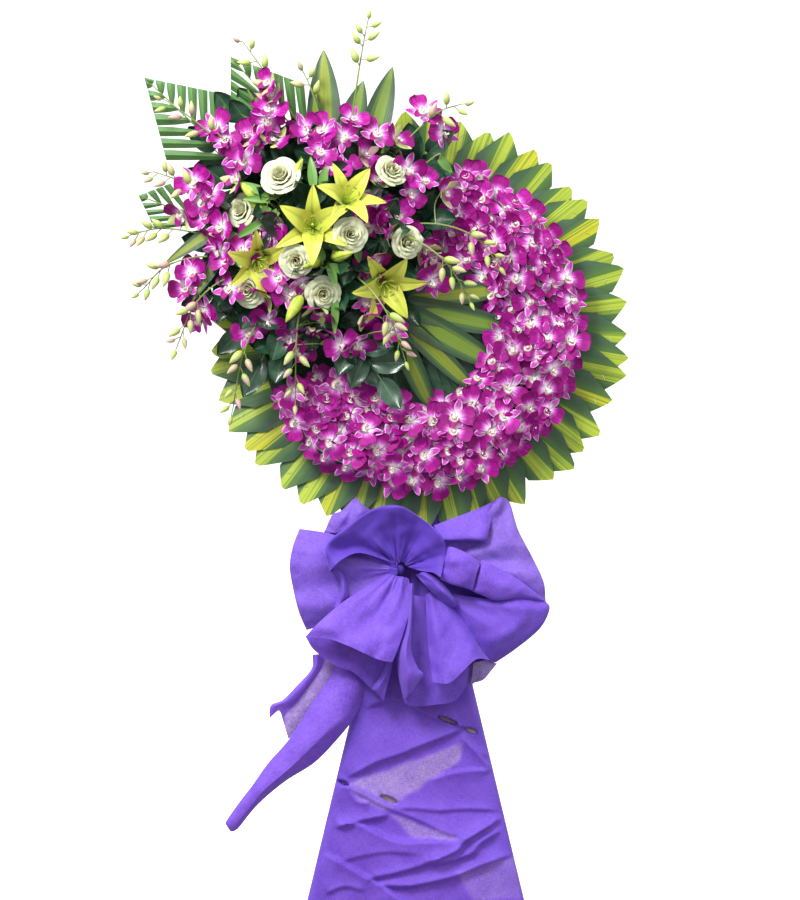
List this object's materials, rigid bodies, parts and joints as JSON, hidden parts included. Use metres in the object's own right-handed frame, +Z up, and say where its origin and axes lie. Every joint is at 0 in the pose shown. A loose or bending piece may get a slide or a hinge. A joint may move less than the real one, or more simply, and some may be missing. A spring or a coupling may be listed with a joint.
{
  "type": "funeral wreath on an easel",
  "caption": "Round funeral wreath of magenta orchid florets edged with striped leaves, with a spray of lilies, roses and orchids, on a leaning three-legged easel wrapped in violet cloth.",
  "frame": {"origin": "floor level under the middle of the whole object's bounding box", "axes": "+Z up, -Y the way the wreath faces, +X to the viewer's right"},
  "size_m": [0.9534, 0.681, 1.8196],
  "materials": {
    "striped_leaf": "living leaf, satin, dark green with a yellow-green stripe",
    "dark_leaf": "living leaf, glossy dark green",
    "palm": "living palm leaf, satin, finely ribbed",
    "orchid": "living petals, velvety magenta with pale throats",
    "lily": "living petals, waxy yellow-green",
    "rose": "living petals, soft cream white",
    "foam": "crumbly dark green floral foam",
    "board": "plain thin plywood",
    "bamboo": "bare tan bamboo and light wood",
    "cloth": "non-woven violet cloth with a faint dotted grid"
  },
  "bodies": {
    "root": {"backing_board": "board", "cloth_bow": "cloth", "cloth_tail_long": "cloth", "cloth_tail_short": "cloth", "cloth_wrap": "cloth", "crosspiece": "bamboo", "easel_post": "bamboo", "foam_block": "foam", "foam_ring": "foam", "lath_lower": "bamboo", "lath_upper": "bamboo", "leaf_edging_1": "striped_leaf", "leaf_edging_2": "striped_leaf", "leaf_edging_3": "striped_leaf", "leaf_edging_4": "striped_leaf", "leafy_sprig_1": "dark_leaf", "leafy_sprig_2": "dark_leaf", "leafy_sprig_3": "dark_leaf", "leafy_sprig_4": "dark_leaf", "leg_left": "bamboo", "leg_rear": "bamboo", "leg_right": "bamboo", "lily_1": "lily", "lily_2": "lily", "lily_3": "lily", "lily_4": "lily", "lily_buds_1": "lily", "lily_buds_2": "lily", "orchid_ring_1": "orchid", "orchid_ring_2": "orchid", "orchid_ring_3": "orchid", "orchid_ring_4": "orchid", "orchid_stem_01": "orchid", "orchid_stem_02": "orchid", "orchid_stem_03": "orchid", "orchid_stem_04": "orchid", "orchid_stem_05": "orchid", "orchid_stem_06": "orchid", "orchid_stem_07": "orchid", "orchid_stem_08": "orchid", "orchid_stem_09": "orchid", "orchid_stem_10": "orchid", "orchid_stem_11": "orchid", "orchid_stem_12": "orchid", "orchid_stem_13": "orchid", "orchid_stem_14": "orchid", "palm_fan_1": "palm", "palm_fan_2": "palm", "palm_fan_3": "palm", "rose_1": "rose", "rose_2": "rose", "rose_3": "rose", "rose_4": "rose", "rose_5": "rose", "rose_6": "rose", "rose_7": "rose", "rose_8": "rose", "striped_leaves_middle": "striped_leaf", "striped_leaves_side": "striped_leaf", "striped_leaves_top": "striped_leaf"}
  },
  "joints": []
}
